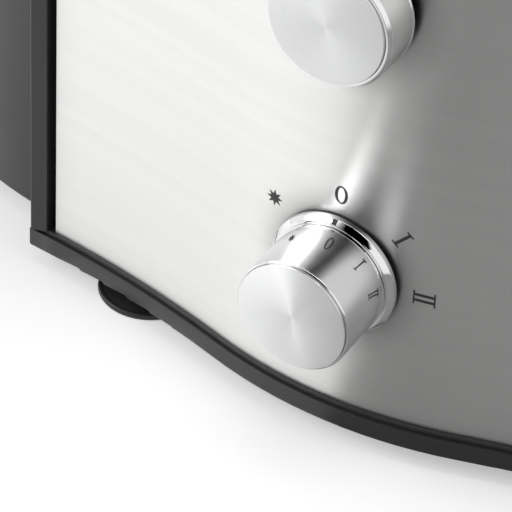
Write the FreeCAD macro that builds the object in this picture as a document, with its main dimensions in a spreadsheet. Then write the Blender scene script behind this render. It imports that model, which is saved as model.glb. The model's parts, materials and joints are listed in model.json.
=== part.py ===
"""Centrifugal juicer: steel-fronted motor base, bowl, spinning basket, lid, pulp bin and locking arm.

Row frame: +X right (spout side), +Y back, +Z up, origin on the drive axis at table level, millimetres.
Every size is a cell of the sheet "Sizes"; sketches and placements are bound to those cells.
"""
import FreeCAD, Part
import math
import os
import re
import Sketcher

SIZES = {
    # motor base: plan
    "front_reach": 120, "bulge_radius": 156.5, "bulge_half": 45.2, "hollow_radius": 449,
    "panel_half": 121.1, "body_half": 130, "back_corner": 62, "panel_thick": 1.5, "skin_gap": 0.3,
    "wall": 3, "rim_proud": 2.2, "rim_side_proud": 1.1, "rim_round": 1.8, "flange_proud": 1.1,
    "flange_side_proud": 0.4, "strip_proud": 3, "strip_step": 2.4,
    # motor base: heights
    "foot_height": 6.3, "foot_radius": 17.9, "foot_place": 88.4, "rim_height": 8, "flange_height": 1.5,
    "panel_height": 182, "deck_top": 205, "deck_thick": 3, "seam": 0.2,
    # selector knob and its switch
    "knob_up": 52.7, "knob_radius": 20, "knob_depth": 28.2, "knob_ring_radius": 22.4,
    "spindle_radius": 3, "switch_side": 34, "switch_deep": 18,
    # locking arm
    "pivot_up": 156.6, "arm_lean": 25, "arm_over": 107.6, "arm_corner": 56, "arm_thick": 9,
    "arm_width": 16, "arm_gap": 1.5, "boss_radius": 19, "cap_radius": 21.9, "cap_deep": 6.8, "skirt_gap": 0.6,
    "pin_radius": 6,
    # bowl, spout, lid and chute
    "bowl_radius": 105, "bowl_height": 40, "bowl_wall": 3, "chimney_radius": 28,
    "spout_width": 30, "spout_reach": 154, "spout_drop": 10,
    "lid_dome": 30, "lid_wall": 3, "chute_radius": 42, "chute_wall": 3, "chute_rise": 197,
    "hood_height": 28, "lid_lip": 1,
    # rotor
    "shaft_radius": 5, "rotor_gap": 0.6, "armature_radius": 27.5, "core_low": 80, "core_high": 130,
    "basket_lift": 17, "basket_deep": 33, "basket_radius": 95, "grater_radius": 58,
    # pusher and pulp bin
    "pusher_gap": 0.4, "pusher_head": 8, "bin_gap": 7, "bin_root": 80.5, "bin_shoulder": 206,
    "bin_shoulder_half": 50.6, "bin_flank_radius": 150, "bin_nose_radius": 64.2, "bin_wall": 2.5,
    "bin_heel_in": 8, "bin_heel_up": 14,
    # motor and electrics
    "bracket_low": 36, "bracket_high": 166, "bracket_thick": 4, "bracket_half": 48, "bracket_collar": 9,
    "collar_radius": 15, "bearing_radius": 12, "bearing_deep": 7, "bearing_room": 0.2,
    "stator_half": 46, "stator_deep": 43, "coil_height": 13, "winding_height": 10,
    "bolt_place": 40, "bolt_bore": 2.7, "comm_low": 50, "comm_radius": 15, "comm_length": 18,
    "brush_high": 8, "brush_wide": 6, "fan_low": 142, "fan_radius": 44, "fan_hub": 12,
    "deck_bore": 13, "switch_bore": 7.2, "board_thick": 1.6, "standoff": 6,
    "louvre_low": 60, "louvre_pitch": 9, "louvre_high": 4, "louvre_half": 45,
    # cord inlet
    "inlet_bore": 3.6, "inlet_side": 50, "inlet_up": 28,
}

# Sizes that follow from the ones above: cells of the same sheet.
FOLLOWING = {
    "basket_low": "deck_top + basket_lift", "basket_high": "basket_low + basket_deep",
    "chute_top": "deck_top + chute_rise",
    "pivot_height": "foot_height + rim_height + seam + flange_height + pivot_up",
    "arm_rise": "deck_top + arm_over - pivot_height",
    "arm_space": "max(front_reach; bowl_radius + 2.5) - front_reach + arm_gap",
    "cap_face": "arm_space + arm_thick + cap_deep",
}

doc = FreeCAD.newDocument("Juicer")
sheet = doc.addObject("Spreadsheet::Sheet", "Sizes")
for row, (alias, size) in enumerate((SIZES | FOLLOWING).items(), 1):
    sheet.set(f"A{row}", alias)
    sheet.set(f"B{row}", str(size) if alias in SIZES else "=" + size)
    sheet.setAlias(f"B{row}", alias)
doc.recompute()

# Heights and places that follow from the sheet, as expression texts.
TRAY_TOP = "(foot_height + rim_height)"
FLANGE_LOW = f"({TRAY_TOP} + seam)"
PANEL_LOW = f"({FLANGE_LOW} + flange_height)"
PANEL_HIGH = f"({PANEL_LOW} + panel_height)"
KNOB_Z = f"({PANEL_LOW} + knob_up)"
PIVOT_Z = "pivot_height"
HOUSING_INSET = "(panel_thick + skin_gap)"
BOWL_LOW = "(deck_top + seam)"
BOWL_TOP = f"({BOWL_LOW} + bowl_height)"
LID_LOW = f"({BOWL_TOP} + seam)"
LID_TOP = f"({LID_LOW} + lid_dome)"
HOOD_TOP = f"({LID_LOW} + hood_height - 10)"
HOOD_LOW = f"({HOOD_TOP} - hood_height)"
CHUTE_BORE = "(chute_radius - chute_wall)"
BIN_SIDE = "(body_half + bin_gap)"
BIN_TOP = f"({HOOD_LOW} - 0.6)"
PUSHER_RADIUS = f"({CHUTE_BORE} - pusher_gap)"
COUPLING_TOP = "(basket_low - 2)"
NODES = {}


def cell(text):
    """The expression with every size name pointed at its cell."""
    named = SIZES | FOLLOWING
    return re.sub(r"[A-Za-z_]\w*", lambda m: "Sizes." + m[0] if m[0] in named else m[0], text)


def value(text):
    """The expression's present number."""
    return float(doc.Sizes.evalExpression(cell(text)))


def body(label):
    """A new PartDesign body whose label is the node's name."""
    made = doc.addObject("PartDesign::Body", label)
    made.Label = label
    NODES[label] = made
    return made


def place(thing, x="0", y="0", z="0", turn=None):
    """Placement bound to the sheet; turn is (axis, degrees)."""
    rotation = FreeCAD.Rotation(FreeCAD.Vector(*turn[0]), turn[1]) if turn else FreeCAD.Rotation()
    thing.Placement = FreeCAD.Placement(FreeCAD.Vector(), rotation)
    for letter, text in zip("xyz", (x, y, z)):
        thing.setExpression(f"Placement.Base.{letter}", cell(text))


FACING_FRONT = ((1, 0, 0), 90)
FACING_BACK = ((1, 0, 0), -90)


def sketch_on(owner, plane, lift="0"):
    """An empty sketch on one of the body's own planes, lifted along the plane's normal."""
    sketch = owner.newObject("Sketcher::SketchObject", owner.Label + "_sketch")
    support = [f for f in owner.Origin.OriginFeatures if f.Role == plane + "_Plane"][0]
    sketch.AttachmentSupport = [(support, "")]
    sketch.MapMode = "FlatFace"
    sketch.setExpression("AttachmentOffset.Base.z", cell(lift))
    return sketch


def arc_between(start, end, radius):
    """Arc from start to end; a positive radius runs counter-clockwise. Returns arc and its point numbers."""
    if radius < 0:
        arc, (first, last) = arc_between(end, start, -radius)
        return arc, (last, first)
    chord = end - start
    rise = math.sqrt(max(radius ** 2 - (chord.Length / 2) ** 2, 0))
    across = FreeCAD.Vector(-chord.y, chord.x, 0).normalize()
    centre = (start + end) / 2 + across * rise
    angles = [math.atan2(p.y - centre.y, p.x - centre.x) for p in (start, end)]
    circle = Part.Circle(centre, FreeCAD.Vector(0, 0, 1), radius)
    return Part.ArcOfCircle(circle, angles[0], angles[1]), (1, 2)


def outline(owner, plane, corners, lift="0"):
    """A closed sketch. A corner is (across, up) or (across, up, radius of the arc to the next corner)."""
    sketch = sketch_on(owner, plane, lift)
    points = [FreeCAD.Vector(value(c[0]), value(c[1]), 0) for c in corners]
    ends = []
    for index, corner in enumerate(corners):
        start, end = points[index], points[(index + 1) % len(points)]
        if len(corner) == 3:
            edge, order = arc_between(start, end, value(corner[2]))
        else:
            edge, order = Part.LineSegment(start, end), (1, 2)
        ends.append((sketch.addGeometry(edge), order))
    for index, (edge, order) in enumerate(ends):
        after, after_order = ends[(index + 1) % len(ends)]
        sketch.addConstraint(Sketcher.Constraint("Coincident", edge, order[1], after, after_order[0]))
    for (edge, order), corner, point in zip(ends, corners, points):
        for kind, text, number in (("DistanceX", corner[0], point.x), ("DistanceY", corner[1], point.y)):
            made = sketch.addConstraint(Sketcher.Constraint(kind, -1, 1, edge, order[0], number))
            sketch.setExpression(f"Constraints[{made}]", cell(text))
        if len(corner) == 3:
            made = sketch.addConstraint(Sketcher.Constraint("Radius", edge, abs(value(corner[2]))))
            sketch.setExpression(f"Constraints[{made}]", cell(f"abs({corner[2]})"))
    return sketch


def circles(owner, plane, rounds, lift="0"):
    """A sketch of circles, each (across, up, radius)."""
    sketch = sketch_on(owner, plane, lift)
    for across, up, radius in rounds:
        centre = FreeCAD.Vector(value(across), value(up), 0)
        edge = sketch.addGeometry(Part.Circle(centre, FreeCAD.Vector(0, 0, 1), value(radius)))
        for kind, text, number in (("DistanceX", across, centre.x), ("DistanceY", up, centre.y)):
            made = sketch.addConstraint(Sketcher.Constraint(kind, -1, 1, edge, 3, number))
            sketch.setExpression(f"Constraints[{made}]", cell(text))
        made = sketch.addConstraint(Sketcher.Constraint("Radius", edge, value(radius)))
        sketch.setExpression(f"Constraints[{made}]", cell(radius))
    return sketch


def rectangle(left, low, right, high):
    """Corners of an upright rectangle."""
    return [(left, low), (right, low), (right, high), (left, high)]


def grow(owner, kind, sketch, length, backwards=False):
    """Pad or Pocket of the sketch over a bound length."""
    feature = owner.newObject("PartDesign::" + kind, f"{owner.Label}_{kind.lower()}")
    feature.Profile = sketch
    feature.Reversed = backwards
    feature.setExpression("Length", cell(length))
    sketch.Visibility = False
    return feature


def turn(owner, kind, sketch, axis="V_Axis"):
    """Revolution or Groove of the sketch, all the way round."""
    feature = owner.newObject("PartDesign::" + kind, f"{owner.Label}_{kind.lower()}")
    feature.Profile = sketch
    feature.ReferenceAxis = (sketch, [axis])
    feature.Angle = 360
    return feature


def turned(label, corners, **where):
    """A node turned about its own Z from (radius, height) corners."""
    made = body(label)
    turn(made, "Revolution", outline(made, "XZ", corners))
    place(made, **where)
    return made


def block(label, corners, low, length, plane="XY", **where):
    """A node padded from an outline."""
    made = body(label)
    grow(made, "Pad", outline(made, plane, corners, low), length)
    place(made, **where)
    return made


def around(owner, feature, count):
    """Repeats a feature evenly about Z."""
    pattern = owner.newObject("PartDesign::PolarPattern", owner.Label + "_pattern")
    pattern.Originals = [feature]
    axis = [f for f in owner.Origin.OriginFeatures if f.Role == "Z_Axis"][0]
    pattern.Axis = (axis, [""])
    pattern.Angle = 360
    pattern.Occurrences = count
    owner.Tip = pattern
    return pattern


def dress(owner, kind, base, size, wanted):
    """Fillet or Chamfer of the base feature's edges that wanted(edge) picks."""
    doc.recompute()
    feature = owner.newObject("PartDesign::" + kind, f"{owner.Label}_{kind.lower()}")
    names = [f"Edge{i}" for i, edge in enumerate(base.Shape.Edges, 1) if wanted(edge)]
    feature.Base = (base, names)
    feature.setExpression("Radius" if kind == "Fillet" else "Size", cell(size))
    return feature


def mirrored(source, normal):
    """The source and its mirror image across the plane through the origin, as one compound."""
    image = doc.addObject("Part::Mirroring", source.Name + "_image")
    image.Source = source
    image.Normal = FreeCAD.Vector(*normal)
    both = doc.addObject("Part::Compound", source.Name + "_both")
    both.Links = [source, image]
    return both


def pair(label, source, normal):
    """A node of two identical pieces, mirrored."""
    source.Label = label + "_one"
    NODES.pop(label)
    NODES[label] = mirrored(source, normal)
    NODES[label].Label = label


def four(label, source):
    """A node of four identical pieces, one in each quarter of the plan."""
    source.Label = label + "_one"
    NODES.pop(label)
    NODES[label] = mirrored(mirrored(source, (1, 0, 0)), (0, 1, 0))
    NODES[label].Label = label


def at_height(text):
    """Picks edges that lie flat at the given height."""
    level = value(text)
    return lambda edge: all(abs(v.Z - level) < 0.01 for v in edge.Vertexes)


# ---- plan curves of the motor base -------------------------------------------------------------------

HOLLOW_X = "((bulge_radius + hollow_radius) * bulge_half / bulge_radius)"
BULGE_COS = "sqrt(1 - (bulge_half / bulge_radius)^2)"
HOLLOW_Y = f"(bulge_radius - front_reach - (bulge_radius + hollow_radius) * {BULGE_COS})"


def front_y(inset, half):
    """Where the front's outer hollow reaches at the given half width."""
    return f"({HOLLOW_Y} + sqrt((hollow_radius + {inset})^2 - ({half} - {HOLLOW_X})^2))"


def front_curve(inset, half):
    """The S-shaped front, left to right: hollow, central bulge, hollow, moved back by the inset."""
    end_y = front_y(inset, half)
    bulge_x = f"(bulge_half * (bulge_radius - {inset}) / bulge_radius)"
    bulge_y = f"(bulge_radius - front_reach - (bulge_radius - {inset}) * {BULGE_COS})"
    hollow = f"-(hollow_radius + {inset})"
    return [("-" + half, end_y, hollow), ("-" + bulge_x, bulge_y, f"bulge_radius - {inset}"),
            (bulge_x, bulge_y, hollow), (half, end_y)]


def back_curve(inset):
    """Right side, rounded back and left side."""
    side = f"(body_half - {inset})"
    back = f"(front_reach - {HOUSING_INSET} - {inset})"
    corner = f"(back_corner - {inset})"
    return [(side, f"{back} - {corner}", corner), (f"{side} - {corner}", back),
            (f"-({side} - {corner})", back, corner), ("-" + side, f"{back} - {corner}")]


def base_plan(inset, side_inset):
    """Plan of the rim and flange: one inset along the front, another round the sides and back."""
    return front_curve(inset, f"(body_half - {side_inset})") + back_curve(side_inset)


def housing_plan(inset):
    """Plan of the housing: its front corners step back behind the trim strips."""
    ledge = f"({front_y('0', 'panel_half')} + 5.8 + {inset})"
    half = f"(panel_half - {inset})"
    side = f"(body_half - {inset})"
    return ([("-" + side, ledge), ("-" + half, ledge)] + front_curve(f"({HOUSING_INSET} + {inset})", half)
            + [(half, ledge), (side, ledge)] + back_curve(inset))


# ---- motor base --------------------------------------------------------------------------------------

tray = body("base_tray")
rim_plan = base_plan("(-rim_proud)", "(-rim_side_proud)")
rim = grow(tray, "Pad", outline(tray, "XY", rim_plan, "foot_height"), "rim_height")
dress(tray, "Fillet", rim, "rim_round", at_height("foot_height"))
hollow = outline(tray, "XY", base_plan("wall", "wall"), TRAY_TOP)
grow(tray, "Pocket", hollow, "rim_height - 2.6")
bosses = [(f"{sx} * foot_place", f"{sy} * foot_place", "9") for sx in (-1, 1) for sy in (-1, 1)]
grow(tray, "Pad", circles(tray, "XY", bosses, "foot_height + 2.6"), "rim_height - 2.6")
for step in range(-4, 5):
    across = f"{12 * step}"
    cut = outline(tray, "XY", rectangle(f"{across} - 2", "-38", f"{across} + 2", "38"), TRAY_TOP)
    grow(tray, "Pocket", cut, "rim_height")
screw_bores = [(x, y, "2.1") for x, y, _ in bosses]
grow(tray, "Pocket", circles(tray, "XY", screw_bores, TRAY_TOP), "rim_height")

housing = body("housing")
flange_plan = base_plan("(-flange_proud)", "(-flange_side_proud)")
grow(housing, "Pad", outline(housing, "XY", flange_plan, FLANGE_LOW), "flange_height")
shell = grow(housing, "Pad", outline(housing, "XY", housing_plan("0"), PANEL_LOW), f"deck_top - {PANEL_LOW}")
top_round = dress(housing, "Fillet", shell, "5", at_height("deck_top"))
inside = outline(housing, "XY", housing_plan("wall"), FLANGE_LOW)
grow(housing, "Pocket", inside, f"deck_top - deck_thick - {FLANGE_LOW}", True)
grow(housing, "Pocket", circles(housing, "XY", [("0", "0", "deck_bore")], "deck_top"), "deck_thick + 1")
bolt_spots = [(f"{sx} * bolt_place", f"{sy} * bolt_place", "bolt_bore") for sx in (-1, 1) for sy in (-1, 1)]
grow(housing, "Pocket", circles(housing, "XY", bolt_spots, "deck_top"), "deck_thick + 1")
through_front = circles(housing, "XZ", [("0", KNOB_Z, "switch_bore"), ("0", PIVOT_Z, "pin_radius + 0.1")],
                        "front_reach + 5")
grow(housing, "Pocket", through_front, "20")
through_back = circles(housing, "XZ", [("0", PIVOT_Z, "pin_radius + 0.1"), ("inlet_side", "inlet_up", "8")],
                       "20 - front_reach - 5")
grow(housing, "Pocket", through_back, "20")
for step in range(8):
    low = f"(louvre_low + louvre_pitch * {step})"
    louvre = outline(housing, "XZ", rectangle("-louvre_half", low, "louvre_half", f"{low} + louvre_high"),
                     "20 - front_reach - 5")
    grow(housing, "Pocket", louvre, "20")

panel = body("front_panel")
ahead = front_curve("0", "panel_half")
behind = front_curve("panel_thick", "panel_half")
back_points = [(c[0], c[1]) for c in reversed(behind)]
back_arcs = [f"-({c[2]})" for c in reversed(behind[:-1])]
returned = [(x, y, r) for (x, y), r in zip(back_points, back_arcs)] + [back_points[-1]]
grow(panel, "Pad", outline(panel, "XY", ahead + returned, PANEL_LOW), "panel_height")
holes = circles(panel, "XZ", [("0", KNOB_Z, "switch_bore"), ("0", PIVOT_Z, "pin_radius + 0.3")],
                "front_reach + 5")
grow(panel, "Pocket", holes, "20")

EDGE_Y = front_y("0", "panel_half")
for side, sign in (("left", "-"), ("right", "")):
    step = "(panel_half + skin_gap)"
    outer = "body_half"
    strip = [(f"{sign}{step}", f"{EDGE_Y} + 4.4"), (f"{sign}({step} + strip_step)", f"{EDGE_Y} + 4.4"),
             (f"{sign}({step} + strip_step)", f"{EDGE_Y} - strip_proud + 1.4"),
             (f"{sign}({outer} - 0.7)", f"{EDGE_Y} - strip_proud"), (f"{sign}{outer}", f"{EDGE_Y} - 2.2"),
             (f"{sign}{outer}", f"{EDGE_Y} + 5.6"), (f"{sign}{step}", f"{EDGE_Y} + 5.6")]
    block("trim_strip_" + side, strip, PANEL_LOW, f"deck_top - 5 - {PANEL_LOW}")

foot = turned("suction_feet", [("0", "2.4"), ("9", "2.4"), ("foot_radius - 2.6", "0"), ("foot_radius", "0"),
                               ("foot_radius", "1"), ("foot_radius * 0.62", "4.6"),
                               ("foot_radius * 0.45", "foot_height"), ("0", "foot_height")],
              x="foot_place", y="foot_place")
four("suction_feet", foot)
screw = turned("base_screws", [("0", "foot_height + seam"), ("2", "foot_height + seam"),
                               ("2", TRAY_TOP + "+ 1"), ("4", TRAY_TOP + "+ 1"),
                               ("3.4", TRAY_TOP + "+ 3"), ("0", TRAY_TOP + "+ 3")],
               x="foot_place", y="foot_place")
four("base_screws", screw)

turned("cord_gland", [("inlet_bore", "-6"), ("11", "-6"), ("11", "-3.4"), ("7.8", "-3.4"), ("7.8", "0.3"),
                      ("10.5", "0.3"), ("9.5", "3"), ("6.5", "14"), ("inlet_bore", "14")],
       x="inlet_side", y=f"front_reach - {HOUSING_INSET}", z="inlet_up", turn=FACING_BACK)

# ---- motor and electrics -----------------------------------------------------------------------------

PLATE = rectangle("-bracket_half", "-bracket_half", "bracket_half", "bracket_half")
SEAT = [("0", "0", "bearing_radius + bearing_room")]
for label, level in (("lower_bracket", "bracket_low"), ("upper_bracket", "bracket_high")):
    bracket = block(label, PLATE, level, "bracket_thick")
    collar = circles(bracket, "XY", [("0", "0", "collar_radius")], level)
    grow(bracket, "Pad", collar, "bracket_collar", label == "upper_bracket")
    grow(bracket, "Pocket", circles(bracket, "XY", SEAT, "200"), "200")
    grow(bracket, "Pocket", circles(bracket, "XY", bolt_spots, "200"), "200")
    for sx in ("-", ""):
        window = outline(bracket, "XY", rectangle(f"{sx}30 - 8", "-22", f"{sx}30 + 8", "22"), "200")
        grow(bracket, "Pocket", window, "200")

SLEEVE = "shaft_radius + 0.05"
for label, low in (("lower_bearing", "bracket_low + bracket_collar - bearing_deep"),
                   ("upper_bearing", "bracket_high - bearing_deep")):
    turned(label, [(SLEEVE, low), ("bearing_radius", low), ("bearing_radius", low + " + bearing_deep"),
                   (SLEEVE, low + " + bearing_deep")])

core_plan = rectangle("-stator_half", "-stator_deep", "stator_half", "stator_deep")
stator = block("stator_core", core_plan, "core_low", "core_high - core_low")
grow(stator, "Pocket", circles(stator, "XY", [("0", "0", "armature_radius + rotor_gap")], "core_high"),
     "core_high - core_low")
grow(stator, "Pocket", circles(stator, "XY", bolt_spots, "core_high"), "core_high - core_low")

coil = body("field_coils")
saddle = [("-22", "30"), ("22", "30"), ("26", "41"), ("-26", "41")]
grow(coil, "Pad", outline(coil, "XY", saddle, "core_high + seam"), "coil_height")
place(coil)
lower_coil = body("field_coils_low")
grow(lower_coil, "Pad", outline(lower_coil, "XY", saddle, "core_low - seam - coil_height"), "coil_height")
place(lower_coil)
NODES.pop("field_coils_low")
stack = doc.addObject("Part::Compound", "coil_stack")
stack.Links = [coil, lower_coil]
NODES["field_coils"] = stack
pair("field_coils", stack, (0, 1, 0))

bolt = turned("motor_bolts", [("0", "bracket_low - 4"), ("4.5", "bracket_low - 4"),
                              ("4.5", "bracket_low - seam"), ("bolt_bore - 0.2", "bracket_low - seam"),
                              ("bolt_bore - 0.2", "deck_top + 0.1"), ("0", "deck_top + 0.1")],
              x="bolt_place", y="bolt_place")
four("motor_bolts", bolt)
MOUNT_LOW = "(bracket_high + bracket_thick + seam)"
MOUNT_TOP = "(deck_top - deck_thick - seam)"
mount = turned("motor_mounts", [("bolt_bore", MOUNT_LOW), ("7", MOUNT_LOW), ("8.5", MOUNT_LOW + " + 5.8"),
                                ("7", MOUNT_LOW + " + 13.8"), ("7", MOUNT_TOP), ("bolt_bore", MOUNT_TOP)],
               x="bolt_place", y="bolt_place")
four("motor_mounts", mount)

HOLDER_IN, HOLDER_OUT = "(comm_radius + 4)", "(bracket_half - 4)"
BRUSH_LOW = "(comm_low + 4)"
holder = block("brush_holders", rectangle(HOLDER_IN, "-6", HOLDER_OUT, "6"), "comm_low", "brush_high * 2")
tunnel = rectangle("-brush_wide / 2 - seam", f"{BRUSH_LOW} - seam", "brush_wide / 2 + seam",
                   f"{BRUSH_LOW} + brush_high + seam")
grow(holder, "Pocket", outline(holder, "YZ", tunnel, "bracket_half - 2"), "40")
pair("brush_holders", holder, (1, 0, 0))
brush = block("brushes", rectangle("comm_radius + 0.4", "-brush_wide / 2", f"{HOLDER_OUT} - 4",
                                   "brush_wide / 2"), BRUSH_LOW, "brush_high")
pair("brushes", brush, (1, 0, 0))
rail = block("brush_rails", rectangle(HOLDER_IN, "-14", HOLDER_OUT, "-6 - seam"),
             "bracket_low + bracket_collar + 0.4", "20")
pair("brush_rails", rail, (1, 0, 0))

turned("shaft_seal", [("shaft_radius + 0.1", "deck_top - 5"), ("deck_bore - seam", "deck_top - 5"),
                      ("deck_bore - seam", "deck_top - 1"),
                      ("9", "deck_top + 0.1"), ("shaft_radius + 0.1", "deck_top + 0.1")])

SWITCH_FACE = "-6.4"
switch = body("rotary_switch")
half_side = "switch_side / 2"
grow(switch, "Pad", outline(switch, "XY", rectangle(f"-{half_side}", f"-{half_side}", half_side, half_side),
                            f"{SWITCH_FACE} - switch_deep"), "switch_deep")
grow(switch, "Pad", circles(switch, "XY", [("0", "0", "6.8")], SWITCH_FACE), "6.7")
grow(switch, "Pocket", circles(switch, "XY", [("0", "0", "spindle_radius + 0.05")], "5"), "60")
place(switch, y="-front_reach", z=KNOB_Z, turn=FACING_FRONT)

BOARD_X = "body_half - wall - 8"
STANDOFF_X = "body_half - wall - standoff - seam"
board = block("control_board", rectangle("-40", "24", "40", "84"), BOARD_X, "board_thick", plane="YZ")
parts_on_board = [rectangle("-30", "34", "-12", "56"), rectangle("-4", "30", "14", "42"),
                  rectangle("18", "50", "34", "76")]
for chip in parts_on_board:
    grow(board, "Pad", outline(board, "YZ", chip, BOARD_X), "14", True)
standoff = block("board_standoffs", rectangle("-36", "28", "-30", "34"), STANDOFF_X, "standoff", plane="YZ")
for y, z in (("30", "28"), ("-36", "74"), ("30", "74")):
    square = outline(standoff, "YZ", rectangle(y, z, f"{y} + 6", f"{z} + 6"), STANDOFF_X)
    grow(standoff, "Pad", square, "standoff")

block("terminal_block", rectangle("20", "60", "48", "80"), "foot_height + 2.8", "16")
block("thermal_cutout", rectangle("-10", "43.2", "10", "51"), "96", "12")
block("interlock_switch", rectangle("-16", "-front_reach + 8.3", "16", "-front_reach + 22"),
      f"{PIVOT_Z} - 10", "20")

# ---- rotor: shaft, armature, fan, coupling and basket ------------------------------------------------

turned("motor_shaft", [("0", "22"), ("shaft_radius - 1", "22"), ("shaft_radius", "23"),
                       ("shaft_radius", COUPLING_TOP + " - 4"), ("0", COUPLING_TOP + " - 4")])
armature = turned("armature_core", [(SLEEVE, "core_low"), ("armature_radius", "core_low"),
                                    ("armature_radius", "core_high"), (SLEEVE, "core_high")])
slot = outline(armature, "XY", rectangle("armature_radius - 9", "-1.4", "armature_radius + 1", "1.4"),
               "core_high")
around(armature, grow(armature, "Pocket", slot, "core_high - core_low"), 12)
windings = turned("armature_windings", [(SLEEVE, "core_high + seam"), ("24", "core_high + seam"),
                                        ("22", "core_high + winding_height"),
                                        (SLEEVE, "core_high + winding_height")])
low_windings = turned("low_windings", [(SLEEVE, "core_low - seam"), ("24", "core_low - seam"),
                                       ("22", "core_low - winding_height"),
                                       (SLEEVE, "core_low - winding_height")])
NODES.pop("low_windings")
winding_stack = doc.addObject("Part::Compound", "winding_stack")
winding_stack.Links = [windings, low_windings]
windings.Label = "upper_windings"
winding_stack.Label = "armature_windings"
NODES["armature_windings"] = winding_stack
COMM_HIGH = "(comm_low + comm_length)"
commutator = turned("commutator", [(SLEEVE, "comm_low"), ("comm_radius", "comm_low"),
                                   ("comm_radius", COMM_HIGH), (SLEEVE, COMM_HIGH)])
gap = outline(commutator, "XY", rectangle("comm_radius - 3", "-0.3", "comm_radius + 1", "0.3"), COMM_HIGH)
around(commutator, grow(commutator, "Pocket", gap, "comm_length"), 24)

fan = turned("cooling_fan", [(SLEEVE, "fan_low"), ("fan_hub", "fan_low"), ("fan_hub", "fan_low + 2"),
                             ("fan_radius", "fan_low + 2"), ("fan_radius", "fan_low + 3.6"),
                             ("fan_hub", "fan_low + 3.6"), ("fan_hub", "fan_low + 12"),
                             (SLEEVE, "fan_low + 12")])
blade = outline(fan, "XY", [("fan_hub", "-1"), ("fan_radius - 1", "5"), ("fan_radius - 1", "7"),
                            ("fan_hub - 1", "1")], "fan_low + 3")
around(fan, grow(fan, "Pad", blade, "10"), 11)

coupling = turned("drive_coupling", [(SLEEVE, BOWL_LOW + " + 1"), ("12", BOWL_LOW + " + 1"),
                                     ("12", BOWL_LOW + " + 3"), ("8.5", BOWL_LOW + " + 3"),
                                     ("8.5", COUPLING_TOP), ("0", COUPLING_TOP),
                                     ("0", COUPLING_TOP + " - 3.8"), (SLEEVE, COUPLING_TOP + " - 3.8")])
tooth = outline(coupling, "XY", rectangle("7", "-1.6", "10.8", "1.6"), BOWL_LOW + " + 3")
around(coupling, grow(coupling, "Pad", tooth, f"{COUPLING_TOP} - {BOWL_LOW} - 5"), 6)

FLOOR_RADIUS = "(grater_radius + 2)"
turned("basket_hub", [("11.2", BOWL_LOW + " + 3.4"), ("18", BOWL_LOW + " + 3.4"), ("22", "basket_low"),
                      (FLOOR_RADIUS, "basket_low"), (FLOOR_RADIUS, "basket_low + 4"),
                      ("0", "basket_low + 4"), ("0", COUPLING_TOP + " + 0.3"),
                      ("11.2", COUPLING_TOP + " + 0.3")])
turned("grater_disc", [("0", "basket_low + 4.2"), ("grater_radius", "basket_low + 4.2"),
                       ("grater_radius", "basket_low + 5.4"), ("12", "basket_low + 5.4"),
                       ("9", "basket_low + 7.4"), ("0", "basket_low + 8")])
turned("filter_basket", [(FLOOR_RADIUS + " + seam", "basket_low + 0.5"),
                         ("basket_radius - 2.2", "basket_high - 3"),
                         ("basket_radius - 3.4", "basket_high - 3"),
                         (FLOOR_RADIUS + " + seam", "basket_low + 1.7")])
turned("basket_rim", [("basket_radius - 4", "basket_high - 2.8"), ("basket_radius", "basket_high - 2.8"),
                      ("basket_radius", "basket_high"), ("basket_radius - 4", "basket_high")])

# ---- bowl, spout, lid --------------------------------------------------------------------------------

CHUTE_FOOT = "(basket_low + 8)"
bowl = turned("juice_bowl", [("chimney_radius", BOWL_LOW), ("bowl_radius - 9", BOWL_LOW),
                             ("bowl_radius - 3", f"{BOWL_LOW} + 8"), ("bowl_radius - 1", f"{BOWL_TOP} - 3"),
                             ("bowl_radius", f"{BOWL_TOP} - 3"), ("bowl_radius", BOWL_TOP),
                             ("bowl_radius - 4", BOWL_TOP),
                             ("bowl_radius - 6", f"{BOWL_LOW} + 9"),
                             ("bowl_radius - 11", f"{BOWL_LOW} + bowl_wall"),
                             ("chimney_radius + bowl_wall", f"{BOWL_LOW} + bowl_wall"),
                             ("chimney_radius + bowl_wall", "basket_low - 3"),
                             ("chimney_radius", "basket_low - 3")])
SPOUT_HALF = "(spout_width / 2)"
window = outline(bowl, "YZ", rectangle(f"3 - {SPOUT_HALF}", f"{BOWL_LOW} + bowl_wall", f"{SPOUT_HALF} - 3",
                                       f"{BOWL_LOW} + 14"), "bowl_radius + 5")
grow(bowl, "Pocket", window, "24")

ROOT = "(bowl_radius - 2.2)"
SPOUT_TOP = f"({BOWL_LOW} + 17)"
spout = body("juice_spout")
side_view = [(ROOT, f"{BOWL_LOW} + 1"), (f"body_half + 6", f"{BOWL_LOW} + 1"),
             ("spout_reach - 17", f"{BOWL_LOW} - spout_drop"), ("spout_reach", f"{BOWL_LOW} - spout_drop"),
             ("spout_reach - 4", f"{BOWL_LOW} + 8"), ("spout_reach - 16", SPOUT_TOP), (ROOT, SPOUT_TOP)]
grow(spout, "Pad", outline(spout, "XZ", side_view, f"-{SPOUT_HALF}"), "spout_width")
channel = [(f"{ROOT} - 1", f"{BOWL_LOW} + 3.4"), (f"body_half + 7.5", f"{BOWL_LOW} + 3.4"),
           ("spout_reach - 14.5", f"{BOWL_LOW} - spout_drop - 1"),
           ("spout_reach - 2.5", f"{BOWL_LOW} - spout_drop - 1"),
           ("spout_reach - 6.5", f"{BOWL_LOW} + 7"), ("spout_reach - 17", f"{SPOUT_TOP} - 2.5"),
           (f"{ROOT} - 1", f"{SPOUT_TOP} - 2.5")]
grow(spout, "Pocket", outline(spout, "XZ", channel, f"{SPOUT_HALF} - 2.5"), "spout_width - 5")

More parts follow.
